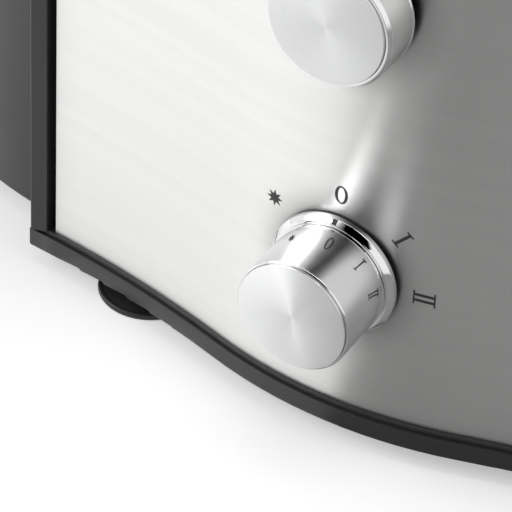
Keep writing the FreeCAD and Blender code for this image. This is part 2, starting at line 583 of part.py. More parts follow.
lid = turned("lid", [("chute_radius + seam", f"{LID_TOP} - lid_wall"), ("69", f"{LID_TOP} - lid_wall - 4"),
                     ("bowl_radius - 9", f"{LID_TOP} - 17"), ("bowl_radius - 3", f"{LID_LOW} + 5"),
                     ("bowl_radius - 3", LID_LOW), ("bowl_radius + 0.6", LID_LOW),
                     ("bowl_radius + 0.6", f"{LID_LOW} + 6"), ("bowl_radius - 7", f"{LID_TOP} - 13"),
                     ("70", f"{LID_TOP} - 4"), ("chute_radius + 4", f"{LID_TOP}"),
                     ("chute_radius + seam", f"{LID_TOP} + 4")])
turned("feed_chute", [(CHUTE_BORE, CHUTE_FOOT), ("chute_radius", CHUTE_FOOT),
                      ("chute_radius", "chute_top - 9"),
                      ("chute_radius + 4", "chute_top - 3"), ("chute_radius + 4", "chute_top"),
                      (CHUTE_BORE, "chute_top")])

# Two saddles beside the chute, arched about the arm's pivot: the locked arm bears down on them.
SADDLE_ARC = "(arm_rise - arm_thick / 2 - 0.3)"
for near_side in ("-62", "50"):
    left, right = "44", "78"
    crown = [(left, f"{LID_TOP} - 6"), (right, f"{LID_TOP} - 9"),
             (right, f"{PIVOT_Z} + sqrt({SADDLE_ARC}^2 - {right}^2)", SADDLE_ARC),
             (left, f"{PIVOT_Z} + sqrt({SADDLE_ARC}^2 - {left}^2)")]
    grow(lid, "Pad", outline(lid, "XZ", crown, near_side), "12")


def nose_plan(inset):
    """The bin's outline beyond its inner side: back flank, round nose, front flank."""
    across = f"-(bin_shoulder - 0.616 * {inset})"
    half = f"bin_shoulder_half - 0.788 * {inset}"
    return [(across, half, f"bin_nose_radius - {inset}"),
            (across, f"-({half})", f"bin_flank_radius - {inset}")]


def bin_plan(inset, inner_x):
    """Crescent plan of the bin: straight inner side, two flanks, round nose."""
    return ([("-" + inner_x, f"-(bin_root - {inset})"),
             ("-" + inner_x, f"bin_root - {inset}", f"bin_flank_radius - {inset}")] + nose_plan(inset))


def hood_side(inset, inner_x):
    """Half width of the hood where its sides run from the lid to the bin."""
    return f"(bin_root - {inset} + ({BIN_SIDE} - {inner_x}) * 0.07)"


def hood_plan(inset, inner_x, arch):
    """Plan of the hood: an arched inner side within the lid, two sides, then the bin's outline."""
    side = hood_side(inset, inner_x)
    arch_x = f"({inner_x} - 10)"
    arch_y = f"sqrt({arch}^2 - {arch_x}^2)"
    return [("-" + arch_x, "-" + arch_y, "-" + arch), ("-" + arch_x, arch_y), ("-" + inner_x, side),
            ("-" + BIN_SIDE, f"bin_root - {inset}", f"bin_flank_radius - {inset}")] + nose_plan(inset) + [
            ("-" + BIN_SIDE, f"-(bin_root - {inset})"), ("-" + inner_x, "-" + side)]


upper = outline(lid, "XY", hood_plan("(-1)", "60", "(bowl_radius - 13)"), LID_LOW)
grow(lid, "Pad", upper, f"{HOOD_TOP} - {LID_LOW}")
SKIRT_X = "(bowl_radius - 17)"
skirt = outline(lid, "XY", hood_plan("(-1)", SKIRT_X, "(bowl_radius + 10)"), HOOD_LOW)
grow(lid, "Pad", skirt, f"{LID_LOW} - {HOOD_LOW}")
lower_room = outline(lid, "XY", hood_plan("1.5", f"({SKIRT_X} - 1)", "(bowl_radius + 4)"), HOOD_LOW)
grow(lid, "Pocket", lower_room, f"{LID_LOW} - {HOOD_LOW}", True)
upper_room = outline(lid, "XY", hood_plan("1.5", "58", "(bowl_radius - 15)"), LID_LOW)
grow(lid, "Pocket", upper_room, f"{HOOD_TOP} - 2.5 - {LID_LOW}", True)

BESIDE_BOWL = "(bowl_radius + 1)"
PLATE_X = f"({BESIDE_BOWL} - 10)"
NOTCH = f"sqrt({BESIDE_BOWL}^2 - {PLATE_X}^2)"
PLATE_SIDE = hood_side("0.5", PLATE_X)
floor = [(f"-({BIN_SIDE} + 2)", "-(bin_root - 0.5)"), ("-" + PLATE_X, "-" + PLATE_SIDE),
         ("-" + PLATE_X, "-" + NOTCH, "-" + BESIDE_BOWL), ("-" + PLATE_X, NOTCH),
         ("-" + PLATE_X, PLATE_SIDE), (f"-({BIN_SIDE} + 2)", "bin_root - 0.5")]
grow(lid, "Pad", outline(lid, "XY", floor, HOOD_LOW), "2.5")
turned("chute_collar", [("chute_radius + 4.2", "chute_top - 4"), ("chute_radius + 5.4", "chute_top - 3"),
                        ("chute_radius + 5.4", "chute_top - 0.6"),
                        ("chute_radius + 4.2", "chute_top - 0.2")])

# ---- food pusher -------------------------------------------------------------------------------------

PUSHER_LOW = f"({CHUTE_FOOT} + 2)"
HEAD_LOW = "(chute_top + 0.3)"
HEAD_TOP = f"({HEAD_LOW} + pusher_head)"
turned("food_pusher", [("0", PUSHER_LOW), (PUSHER_RADIUS, PUSHER_LOW), (PUSHER_RADIUS, HEAD_LOW),
                       ("chute_radius + 3", HEAD_LOW), ("chute_radius + 3", HEAD_TOP),
                       (f"{PUSHER_RADIUS} - 3", HEAD_TOP), (f"{PUSHER_RADIUS} - 3", f"{PUSHER_LOW} + 3"),
                       ("0", f"{PUSHER_LOW} + 3")])
turned("pusher_grip", [("chute_radius + 3.2", HEAD_LOW), ("chute_radius + 5.4", f"{HEAD_LOW} + 1"),
                       ("chute_radius + 5.4", f"{HEAD_TOP} - 1.4"), ("chute_radius + 3.2", HEAD_TOP)])

# ---- pulp bin ----------------------------------------------------------------------------------------

pulp_bin = body("pulp_bin")
crescent = grow(pulp_bin, "Pad", outline(pulp_bin, "XY", bin_plan("0", BIN_SIDE), "0"), BIN_TOP)
heel = dress(pulp_bin, "Chamfer", crescent, "bin_heel_in", at_height("0"))
heel.ChamferType = "Two distances"
heel.setExpression("Size2", cell("bin_heel_up"))
room = outline(pulp_bin, "XY", bin_plan("bin_wall", f"({BIN_SIDE} + bin_wall)"), BIN_TOP)
grow(pulp_bin, "Pocket", room, f"{BIN_TOP} - bin_heel_up - bin_wall")
nose = "(bin_shoulder + bin_nose_radius - sqrt(bin_nose_radius^2 - bin_shoulder_half^2))"
block("bin_grip", [(f"-({nose} + 0.3)", f"{BIN_TOP} - 30"), (f"-({nose} + 12)", f"{BIN_TOP} - 14"),
                   (f"-({nose} + 14)", f"{BIN_TOP} - 14"), (f"-({nose} + 14)", f"{BIN_TOP} - 10"),
                   (f"-({nose} + 0.3)", f"{BIN_TOP} - 10")], "-26", "52", plane="XZ")

# ---- selector knob: turns on the switch's spindle, in front of the steel -----------------------------

AT_KNOB = dict(y="-front_reach", z=KNOB_Z, turn=FACING_FRONT)
AT_PIVOT = dict(y="-front_reach", z=PIVOT_Z, turn=FACING_FRONT)
turned("selector_knob", [("spindle_radius + 0.1", "6"), ("6.5", "6"), ("6.5", "knob_depth - 4.2"),
                         ("knob_radius - 2.4", "knob_depth - 4.2"), ("knob_radius - 2.4", "4.3"),
                         ("knob_radius", "4.3"), ("knob_radius", "knob_depth - 0.6"),
                         ("knob_radius - 0.6", "knob_depth"), ("knob_radius - 1.2", "knob_depth"),
                         ("knob_radius - 1.2", "knob_depth - 1.6"),
                         ("spindle_radius + 0.1", "knob_depth - 1.6")], **AT_KNOB)
turned("knob_face", [("0", "knob_depth - 1.5"), ("knob_radius - 1.3", "knob_depth - 1.5"),
                     ("knob_radius - 1.3", "knob_depth - 0.2"), ("0", "knob_depth - 0.2")], **AT_KNOB)
turned("knob_ring", [("7.2", "0.6"), ("knob_ring_radius", "0.6"), ("knob_ring_radius", "2.4"),
                     ("knob_ring_radius - 1.7", "4.1"), ("7.2", "4.1")], **AT_KNOB)
turned("switch_spindle", [("0", "-22"), ("spindle_radius", "-22"), ("spindle_radius", "knob_depth - 4.2"),
                          ("0", "knob_depth - 4.2")], **AT_KNOB)

# ---- locking arm: a leaning hoop on two pins through the motor base ----------------------------------

arm = body("locking_arm")
LEG_IN = "(front_reach + arm_space)"
LEG_OUT = f"({LEG_IN} + arm_thick)"
RISE_OUT = "(arm_rise + arm_thick / 2)"
RISE_IN = "(arm_rise - arm_thick / 2)"
ROUND_OUT = "(arm_corner + arm_thick / 2)"
ROUND_IN = "(arm_corner - arm_thick / 2)"
hoop = [("-" + LEG_OUT, "0"), ("-" + LEG_IN, "0"),
        ("-" + LEG_IN, f"{RISE_IN} - {ROUND_IN}", "-" + ROUND_IN), (f"-({LEG_IN} - {ROUND_IN})", RISE_IN),
        (f"{LEG_IN} - {ROUND_IN}", RISE_IN, "-" + ROUND_IN), (LEG_IN, f"{RISE_IN} - {ROUND_IN}"),
        (LEG_IN, "0"), (LEG_OUT, "0"),
        (LEG_OUT, f"{RISE_OUT} - {ROUND_OUT}", ROUND_OUT), (f"{LEG_OUT} - {ROUND_OUT}", RISE_OUT),
        (f"-({LEG_OUT} - {ROUND_OUT})", RISE_OUT, ROUND_OUT), ("-" + LEG_OUT, f"{RISE_OUT} - {ROUND_OUT}")]
bar = grow(arm, "Pad", outline(arm, "YZ", hoop, "-arm_width / 2"), "arm_width")
far_side = lambda edge: all(abs(abs(v.X) - value("arm_width / 2")) < 0.01 for v in edge.Vertexes)
dress(arm, "Fillet", bar, "arm_thick / 3", far_side)
for lift in (LEG_IN, "-" + LEG_OUT):
    grow(arm, "Pad", circles(arm, "XZ", [("0", "0", "boss_radius")], lift), "arm_thick")
grow(arm, "Pocket", circles(arm, "XZ", [("0", "0", "pin_radius + 2.05")], "front_reach + 30"),
     "2 * front_reach + 60")
place(arm, z=PIVOT_Z, turn=((0, 1, 0), SIZES["arm_lean"]))
arm.setExpression("Placement.Rotation.Angle", cell("arm_lean"))

grip = block("arm_grip", rectangle("-34", f"{RISE_OUT} + 0.2", "34", f"{RISE_OUT} + 3.2"),
             "-arm_width / 2 - 1", "arm_width + 2", plane="YZ")
place(grip, z=PIVOT_Z, turn=((0, 1, 0), SIZES["arm_lean"]))
grip.setExpression("Placement.Rotation.Angle", cell("arm_lean"))

PIN_END = "(arm_space + arm_thick + 1)"
pin = turned("pivot_pins", [("0", "-8"), ("11", "-8"), ("11", f"-({HOUSING_INSET} + wall + 0.6)"),
                            ("pin_radius", f"-({HOUSING_INSET} + wall + 0.6)"), ("pin_radius", PIN_END),
                            ("0", PIN_END)], **AT_PIVOT)
pair("pivot_pins", pin, (0, 1, 0))
bush = turned("pivot_bushes", [("pin_radius + 0.05", "arm_space"), ("pin_radius + 2", "arm_space"),
                               ("pin_radius + 2", "arm_space + arm_thick"),
                               ("pin_radius + 0.05", "arm_space + arm_thick")], **AT_PIVOT)
pair("pivot_bushes", bush, (0, 1, 0))
CAP_LOW = "(arm_space + arm_thick + 0.2)"
SKIRT_LOW = "(arm_space + skirt_gap)"
cap = turned("hub_caps", [("pin_radius + 1", CAP_LOW), ("boss_radius + 0.4", CAP_LOW),
                          ("boss_radius + 0.4", SKIRT_LOW), ("cap_radius", SKIRT_LOW),
                          ("cap_radius", "cap_face - 0.7"), ("cap_radius - 0.7", "cap_face"),
                          ("cap_radius - 1.5", "cap_face"), ("cap_radius - 1.5", "cap_face - 1.1"),
                          ("0", "cap_face - 1.1"), ("0", f"{PIN_END} + 1"),
                          ("pin_radius + 1", f"{PIN_END} + 1")], **AT_PIVOT)
along = ("sin(arm_lean)", "cos(arm_lean)")
NOTCH_HALF = "(arm_width / 2 + 0.4)"
NOTCH_END = "(cap_radius + 2)"
notch = [(f"-{NOTCH_HALF} * {along[1]}", f"{NOTCH_HALF} * {along[0]}"),
         (f"{NOTCH_HALF} * {along[1]}", f"-{NOTCH_HALF} * {along[0]}"),
         (f"{NOTCH_END} * {along[0]} + {NOTCH_HALF} * {along[1]}",
          f"{NOTCH_END} * {along[1]} - {NOTCH_HALF} * {along[0]}"),
         (f"{NOTCH_END} * {along[0]} - {NOTCH_HALF} * {along[1]}",
          f"{NOTCH_END} * {along[1]} + {NOTCH_HALF} * {along[0]}")]
grow(cap, "Pocket", outline(cap, "XY", notch, CAP_LOW), "arm_thick + 2")
pair("hub_caps", cap, (0, 1, 0))
disc = turned("cap_discs", [("0", "cap_face - 1"), ("cap_radius - 1.6", "cap_face - 1"),
                            ("cap_radius - 1.6", "cap_face - 0.1"), ("0", "cap_face - 0.1")], **AT_PIVOT)
pair("cap_discs", disc, (0, 1, 0))

# ---- check and write ---------------------------------------------------------------------------------

doc.recompute()
for thing in doc.Objects:
    if "Invalid" in thing.State or "Error" in thing.State:
        raise RuntimeError(f"{thing.Label} failed: {thing.State}")
    if thing.TypeId in ("PartDesign::Pocket", "PartDesign::Groove"):
        if thing.Shape.Volume > thing.BaseFeature.Shape.Volume - 0.5:
            raise RuntimeError(f"{thing.Label} cuts nothing")
for node, thing in NODES.items():
    if thing.Shape.isNull() or not thing.Shape.isValid():
        raise RuntimeError(f"{node} has no sound shape")

os.makedirs("parts", exist_ok=True)
for node, thing in NODES.items():
    thing.Shape.exportStep(f"parts/{node}.step")
    box = thing.Shape.BoundBox
    print(f"{node:18} solids {len(thing.Shape.Solids):2}  x {box.XMin:7.1f} {box.XMax:7.1f}"
          f"  y {box.YMin:7.1f} {box.YMax:7.1f}  z {box.ZMin:6.1f} {box.ZMax:6.1f}")
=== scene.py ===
"""Centrifugal juicer: the looks of every piece, in metres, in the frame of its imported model."""
import json
import math

import bmesh
import bpy
import numpy as np
from mathutils import Matrix, Vector

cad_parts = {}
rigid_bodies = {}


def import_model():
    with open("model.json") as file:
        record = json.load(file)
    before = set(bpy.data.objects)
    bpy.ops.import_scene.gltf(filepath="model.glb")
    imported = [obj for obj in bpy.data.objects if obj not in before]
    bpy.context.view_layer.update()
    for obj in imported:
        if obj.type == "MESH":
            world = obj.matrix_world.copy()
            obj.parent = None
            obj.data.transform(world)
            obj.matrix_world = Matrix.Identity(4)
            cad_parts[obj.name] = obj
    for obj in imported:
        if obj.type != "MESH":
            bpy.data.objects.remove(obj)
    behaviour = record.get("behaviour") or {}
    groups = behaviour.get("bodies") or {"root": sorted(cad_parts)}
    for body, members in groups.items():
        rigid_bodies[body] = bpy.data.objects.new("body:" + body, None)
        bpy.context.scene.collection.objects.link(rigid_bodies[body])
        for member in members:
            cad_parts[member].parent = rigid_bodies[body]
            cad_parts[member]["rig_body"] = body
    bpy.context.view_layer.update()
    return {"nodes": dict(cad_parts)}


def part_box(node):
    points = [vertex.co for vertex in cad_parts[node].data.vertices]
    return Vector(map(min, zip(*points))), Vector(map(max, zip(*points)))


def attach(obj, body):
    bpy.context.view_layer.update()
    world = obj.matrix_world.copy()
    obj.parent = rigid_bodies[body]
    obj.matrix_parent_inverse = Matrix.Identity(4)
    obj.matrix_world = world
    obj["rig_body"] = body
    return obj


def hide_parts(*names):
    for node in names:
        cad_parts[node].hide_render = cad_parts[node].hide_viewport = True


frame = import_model()
nodes = frame["nodes"]

# ---- Worktop, light and camera -----------------------------------------------------------------------
# A seamless white worktop under soft studio light: a large softbox to the left of the steel and a weaker
# one above. Dark cards in front, on the floor and at both sides are seen only in metal, to shape it.

scene = bpy.context.scene
scene.view_settings.view_transform = "Standard"


def new_material(name):
    """An empty node material and its tree."""
    material = bpy.data.materials.new(name)
    material.use_nodes = True
    material.node_tree.nodes.clear()
    return material, material.node_tree


def add_node(tree, kind, **given):
    """A shader node: a small-letter name sets its property, a capital or _number its input."""
    node = tree.nodes.new("ShaderNode" + kind)
    for name in [name for name in given if name[0].islower()]:
        setattr(node, name, given.pop(name))
    for name, content in given.items():
        socket = node.inputs[int(name[1:])] if name[0] == "_" else node.inputs[name.replace("_", " ")]
        if isinstance(content, bpy.types.NodeSocket):
            tree.links.new(content, socket)
        else:
            socket.default_value = content
    return node


def lit_card(name, tint, glow):
    """Matt surface with a glow that only the camera, mirrors and glass see."""
    material, tree = new_material(name)
    path = add_node(tree, "LightPath")
    seen = add_node(tree, "Math", operation="MAXIMUM", _0=path.outputs["Is Camera Ray"],
                    _1=path.outputs["Is Glossy Ray"])
    clear = add_node(tree, "Math", operation="MAXIMUM", _0=seen.outputs[0],
                     _1=path.outputs["Is Transmission Ray"])
    strength = add_node(tree, "Math", operation="MULTIPLY", _0=clear.outputs[0], _1=glow)
    shine = add_node(tree, "Emission", Color=(1, 1, 1, 1), Strength=strength.outputs[0])
    matt = add_node(tree, "BsdfDiffuse", Color=(*tint, 1))
    both = add_node(tree, "AddShader", _0=matt.outputs[0], _1=shine.outputs[0])
    add_node(tree, "OutputMaterial", Surface=both.outputs[0])
    return material


def mesh_object(name, vertices, faces, material=None):
    """A mesh object at the origin from arrays of points and faces."""
    mesh = bpy.data.meshes.new(name)
    mesh.from_pydata(np.asarray(vertices).reshape(-1, 3).tolist(), [], np.asarray(faces).tolist())
    made = bpy.data.objects.new(name, mesh)
    scene.collection.objects.link(made)
    if material:
        mesh.materials.append(material)
    return made


FLOOR_REACH = 6.0
floor_corners = FLOOR_REACH * np.array([(-1, -1, 0), (1, -1, 0), (1, 1, 0), (-1, 1, 0)])
floor_white = lit_card("worktop white", (0.8, 0.8, 0.8), 0.42)
floor = mesh_object("worktop", floor_corners, [(0, 1, 2, 3)], floor_white)

world = bpy.data.worlds.new("studio")
scene.world = world
world.use_nodes = True
world_tree = world.node_tree
world_tree.nodes.clear()
world_path = add_node(world_tree, "LightPath")
seen_world = add_node(world_tree, "Math", operation="MAXIMUM", _0=world_path.outputs["Is Camera Ray"],
                      _1=world_path.outputs["Is Glossy Ray"])
lighting_world = add_node(world_tree, "Background", Color=(1, 1, 1, 1), Strength=0.4)
white_world = add_node(world_tree, "Background", Color=(1, 1, 1, 1), Strength=1.0)
world_mix = add_node(world_tree, "MixShader", _0=seen_world.outputs[0],
                     _1=lighting_world.outputs[0], _2=white_world.outputs[0])
add_node(world_tree, "OutputWorld", Surface=world_mix.outputs[0])


def softbox(name, place, target, size, watts):
    """A square area lamp aimed at a point."""
    lamp = bpy.data.lights.new(name, "AREA")
    lamp.shape = "SQUARE"
    lamp.size = size
    lamp.energy = watts
    made = bpy.data.objects.new(name, lamp)
    scene.collection.objects.link(made)
    made.location = place
    made.rotation_euler = (Vector(target) - Vector(place)).to_track_quat("-Z", "Y").to_euler()
    return made


softbox("left softbox", (-1.6, -1.2, 1.3), (0, 0, 0.15), 1.2, 20)
softbox("top softbox", (0.3, 0.2, 2.0), (0, 0, 0.2), 1.4, 14)

steel_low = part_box("front_panel")[0]
knob_low, knob_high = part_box("knob_ring")
knob_centre = Vector((0, steel_low.y, (knob_low.z + knob_high.z) / 2))

CARD_FAR = 1.5
CARD_FLOOR = 0.0015
CARD_TURNS = 26


def dark_card(name, profile, shades):
    """Fan about the steel's middle: (reach, height) points swept over the turn angles of the shades."""
    first, last = shades[0][0], shades[-1][0]
    material, tree = new_material(name)
    where = add_node(tree, "SeparateXYZ", Vector=add_node(tree, "TexCoord").outputs["Object"])
    ahead = add_node(tree, "Math", operation="SUBTRACT", _0=knob_centre.y, _1=where.outputs["Y"])
    leftward = add_node(tree, "Math", operation="MULTIPLY", _0=where.outputs["X"], _1=-1.0)
    turn = add_node(tree, "Math", operation="ARCTAN2", _0=leftward.outputs[0], _1=ahead.outputs[0])
    share = add_node(tree, "MapRange", Value=turn.outputs[0], From_Min=math.radians(first),
                     From_Max=math.radians(last))
    ramp = add_node(tree, "ValToRGB", Fac=share.outputs[0])
    while len(ramp.color_ramp.elements) < len(shades):
        ramp.color_ramp.elements.new(0.5)
    for stop, (turn_deg, shade) in zip(ramp.color_ramp.elements, shades):
        stop.position = (turn_deg - first) / (last - first)
        stop.color = (shade, shade, shade, 1)
    shader = add_node(tree, "MixShader", _0=ramp.outputs["Color"],
                      _1=add_node(tree, "BsdfTransparent").outputs[0],
                      _2=add_node(tree, "Emission", Strength=0.0).outputs[0])
    add_node(tree, "OutputMaterial", Surface=shader.outputs[0])
    turns = np.radians(np.linspace(first, last, CARD_TURNS))[:, None]
    reach, height = np.array(profile).T
    points = np.stack([-reach * np.sin(turns), knob_centre.y - reach * np.cos(turns),
                       np.broadcast_to(height, (CARD_TURNS, len(reach)))], -1)
    corner = np.arange((CARD_TURNS - 1) * len(reach)).reshape(CARD_TURNS - 1, -1)[:, :-1].reshape(-1, 1)
    made = mesh_object(name, points, corner + [0, len(reach), len(reach) + 1, 1], material)
    made.visible_camera = made.visible_diffuse = made.visible_transmission = made.visible_shadow = False


dark_card("floor card", [(reach, CARD_FLOOR) for reach in (0.004, 0.05, 0.2, 0.6, CARD_FAR)],
          ((-100, 0.72), (0, 0.72), (7, 0.62), (13, 0.52), (20, 0.38), (24, 0.18), (28, 0)))
dark_card("wall card", [(CARD_FAR, height) for height in (CARD_FLOOR, 0.8, 2.6)],
          ((-24, 0), (-17, 1), (10, 1), (20, 0.6), (27, 0)))
dark_card("right card", [(CARD_FAR, 0.9), (CARD_FAR, 2.6), (0.5, 3.2)],
          ((-42, 0), (-36, 1), (-8, 1), (-3, 0.4)))
dark_card("left card", [(CARD_FAR, -0.3), (CARD_FAR, 0.3)], ((44, 0), (48, 1), (54, 1), (58, 0)))

CAMERA_BEARING = math.radians(29.26)
CAMERA_RISE = math.radians(38.66)
CAMERA_ROLL = math.radians(2.78)
CAMERA_AWAY = 1.158
target = knob_centre + Vector((-0.0322, 0.005, -0.0118))
backward = Vector((math.sin(CAMERA_BEARING) * math.cos(CAMERA_RISE),
                   -math.cos(CAMERA_BEARING) * math.cos(CAMERA_RISE), math.sin(CAMERA_RISE)))
level = Vector((math.cos(CAMERA_BEARING), math.sin(CAMERA_BEARING), 0))
right = math.cos(CAMERA_ROLL) * level + math.sin(CAMERA_ROLL) * backward.cross(level)
upward = backward.cross(right)
lens = bpy.data.cameras.new("camera")
lens.lens = 252
lens.sensor_width = 36
lens.clip_end = 50
camera = bpy.data.objects.new("camera", lens)
scene.collection.objects.link(camera)
turned_camera = Matrix((right, upward, backward)).transposed().to_4x4()
camera.matrix_world = Matrix.Translation(target + CAMERA_AWAY * backward) @ turned_camera
scene.camera = camera

# ---- Mouldings of the motor base ---------------------------------------------------------------------
# The tray, the housing and the two trim strips are injection moulded in charcoal ABS with a fine satin
# texture and softened edges; the housing stands on the tray and is screwed to it from below.


def finish(name, tint, roughness, metallic=0.0, grain=0.0, grain_size=0.0006, mottle=0.04, coat=0.0):
    """Principled surface whose tint and roughness wander a little, with an optional fine raised grain."""
    material, tree = new_material(name)
    where = add_node(tree, "TexCoord").outputs["Object"]
    cloud = add_node(tree, "TexNoise", Vector=where, Scale=35.0, Detail=3.0)
    dark = tuple(channel * (1 - 2 * mottle) for channel in tint)
    light = tuple(min(channel * (1 + 2 * mottle), 1) for channel in tint)
    colour = add_node(tree, "Mix", data_type="RGBA", _0=cloud.outputs["Fac"], _6=(*dark, 1), _7=(*light, 1))
    gloss = add_node(tree, "MapRange", Value=cloud.outputs["Fac"], From_Min=0.3, From_Max=0.7,
                     To_Min=roughness * 0.88, To_Max=min(roughness * 1.12, 1.0))
    shader = add_node(tree, "BsdfPrincipled", Base_Color=colour.outputs[2],
                      Roughness=gloss.outputs[0], Metallic=metallic, Coat_Weight=coat)
    if grain:
        speck = add_node(tree, "TexNoise", Vector=where, Scale=1 / grain_size, Detail=1.0)
        bump = add_node(tree, "Bump", Height=speck.outputs["Fac"], Strength=grain, Distance=0.0001)
        tree.links.new(bump.outputs[0], shader.inputs["Normal"])
    add_node(tree, "OutputMaterial", Surface=shader.outputs[0])
    return material


SAME_POINT = 2e-6
NO_LENGTH = 1e-7
HARD_ANGLE = 35


def tidy_mesh(mesh, angle=HARD_ANGLE):
    """Merges doubles, turns faces outwards and keeps only edges sharper than the angle hard."""
    shape = bmesh.new()
    shape.from_mesh(mesh)
    bmesh.ops.remove_doubles(shape, verts=shape.verts, dist=SAME_POINT)
    bmesh.ops.dissolve_degenerate(shape, edges=shape.edges, dist=NO_LENGTH)
    bmesh.ops.recalc_face_normals(shape, faces=shape.faces)
    shape.to_mesh(mesh)
    shape.free()
    mesh.polygons.foreach_set("use_smooth", np.ones(len(mesh.polygons), bool))
    mesh.set_sharp_from_angle(angle=math.radians(angle))
    mesh.update()


def soften(piece, width):
    """Rounds the hard edges of a piece."""
    rounding = piece.modifiers.new("rounded edges", "BEVEL")
    rounding.width = width
    rounding.segments = 2
    rounding.limit_method = "ANGLE"
    rounding.angle_limit = math.radians(HARD_ANGLE)
    rounding.harden_normals = True


def body_of_node(node):
    """The body that carries a node."""
    return nodes[node]["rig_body"]


def stand_in(piece, *replaced):
    """The piece rides where the nodes ride, and shows in their place."""
    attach(piece, body_of_node(replaced[0]))
    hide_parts(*replaced)
    return piece


def rounded_copy(node, material, width):
    """The node's own shape with its edges rounded, or only smoothed where the width is 0."""
    mesh = nodes[node].data.copy()
    mesh.materials.clear()
    mesh.materials.append(material)
    piece = bpy.data.objects.new(node + "_finished", mesh)
    scene.collection.objects.link(piece)
    tidy_mesh(mesh)
    if width:
        soften(piece, width)
    return stand_in(piece, node)


def dress_nodes(material, *names):
    """CAD nodes whose shape is right take a material of their own."""
    for name in names:
        nodes[name].data.materials.clear()
        nodes[name].data.materials.append(material)


charcoal = finish("charcoal ABS", (0.03, 0.03, 0.029), 0.42, grain=0.35, grain_size=0.0004)
for node, width in (("base_tray", 0), ("housing", 0.0005), ("trim_strip_left", 0.0004),
                    ("trim_strip_right", 0.0004)):
    rounded_copy(node, charcoal, width)

# ---- Brushed steel front -----------------------------------------------------------------------------
# A 1.5 mm sheet of stainless steel rolled to an S on each side of a central bulge and brushed along its
# width, so light spreads up and down across the scratches. Its colour carries painted shade round the knob,
# the caps and along the rim. The printed marks lie on it.


def brushed_steel(name, tint, roughness):
    """Metal with long level scratches, a highlight that spreads across them, and painted shade: colour
    darkened in its corners, where other parts stand close.
    """
    material, tree = new_material(name)
    where = add_node(tree, "TexCoord").outputs["Object"]
    stretched = add_node(tree, "Mapping", Vector=where, Scale=(6, 6, 2600))
    scratches = add_node(tree, "TexNoise", Vector=stretched.outputs[0], Scale=1.0, Detail=4.0)
    broad = add_node(tree, "Mapping", Vector=where, Scale=(3, 3, 260))
    bands = add_node(tree, "TexNoise", Vector=broad.outputs[0], Scale=1.0, Detail=2.0)
    both = add_node(tree, "Math", operation="ADD", _0=scratches.outputs["Fac"], _1=bands.outputs["Fac"])
    shade = add_node(tree, "MapRange", Value=both.outputs[0], From_Min=0.7, From_Max=1.3,
                     To_Min=0.97, To_Max=1.02)
    # Painted shade: ambient occlusion within 14 mm darkens the steel's colour round the knob, the caps and
    # along the rim.
    occlusion_for_painted_shade = add_node(tree, "AmbientOcclusion", Distance=0.014, samples=8)
    painted_corner_shade = add_node(tree, "MapRange", Value=occlusion_for_painted_shade.outputs["AO"], From_Min=0.45, From_Max=1.0,
                    To_Min=0.3, To_Max=1.0)
    tone_and_painted_shade = add_node(tree, "Math", operation="MULTIPLY", _0=shade.outputs[0], _1=painted_corner_shade.outputs[0])
    colour = add_node(tree, "VectorMath", operation="MULTIPLY", _0=(*tint,), _1=tone_and_painted_shade.outputs[0])
    gloss = add_node(tree, "MapRange", Value=both.outputs[0], From_Min=0.7, From_Max=1.3,
                     To_Min=roughness * 0.95, To_Max=roughness * 1.05)
    bump = add_node(tree, "Bump", Height=scratches.outputs["Fac"], Strength=0.1, Distance=0.00005)
    upright = add_node(tree, "CombineXYZ", X=0.0, Y=0.0, Z=1.0)
    shader = add_node(tree, "BsdfPrincipled", Base_Color=colour.outputs[0], Metallic=1.0,
                      Roughness=gloss.outputs[0], Anisotropic=0.8, Tangent=upright.outputs[0],
                      Normal=bump.outputs[0])
    add_node(tree, "OutputMaterial", Surface=shader.outputs[0])
    return material


dress_nodes(brushed_steel("brushed steel front", (0.8, 0.795, 0.785), 0.36), "front_panel")

panel_mesh = nodes["front_panel"].data
front_faces = [face for face in panel_mesh.polygons if face.normal.y < -0.5]
front_points = np.array([panel_mesh.vertices[v].co[:] for face in front_faces for v in face.vertices])
panel_x, first_points = np.unique(front_points[:, 0].round(5), return_index=True)
panel_y = front_points[first_points, 1]


def on_steel(across, up, proud=0.00006):
    """Points on the steel's front at the given places: depth read off the sheet's own columns."""
    depth = np.interp(across, panel_x, panel_y) - proud
    return np.stack([across, depth, up], -1)


# ---- Printed switch marks ----------------------------------------------------------------------------
# Pad-printed dark grey marks round the knob: a burst for the pulse position, 0, I and II, each on the
# bearing of its switch position; I and II stand radially.


def surface(name, grid, material, wrap_u=False, wrap_v=False, angle=HARD_ANGLE):
    """Quads over grid[u, v]; a wrapped direction joins its last row to its first."""
    rows, columns = grid.shape[:2]
    u = np.arange(rows if wrap_u else rows - 1)[:, None]
    v = np.arange(columns if wrap_v else columns - 1)[None, :]
    next_u, next_v = (u + 1) % rows, (v + 1) % columns
    faces = np.stack([u * columns + v, next_u * columns + v, next_u * columns + next_v,
                      u * columns + next_v], -1).reshape(-1, 4)
    made = mesh_object(name, grid, faces, material)
    tidy_mesh(made.data, angle)
    return made


MARK_RADIUS = 0.0302
MARK_HEIGHT = 0.0068
STROKE = 0.001
HAIR = 0.0005
print_ink = finish("pad print ink", (0.035, 0.033, 0.032), 0.5)


def on_bearing(grid, bearing_deg, radial):
    """Lays flat points on the steel at a bearing round the knob; a radial mark's top points outwards."""
    turn = math.radians(bearing_deg)
    lean = turn if radial else 0
    across = grid[..., 0] * math.cos(lean) + grid[..., 1] * math.sin(lean) + MARK_RADIUS * math.sin(turn)
    up = grid[..., 1] * math.cos(lean) - grid[..., 0] * math.sin(lean) + MARK_RADIUS * math.cos(turn)
    return on_steel(across, up + knob_centre.z)


def stroke(left, low, right, high, steps=7):
    """A grid over an upright rectangle, fine enough to follow the steel's curve."""
    return np.stack(np.meshgrid(np.linspace(left, right, steps), np.linspace(low, high, steps),
                                indexing="ij"), -1)


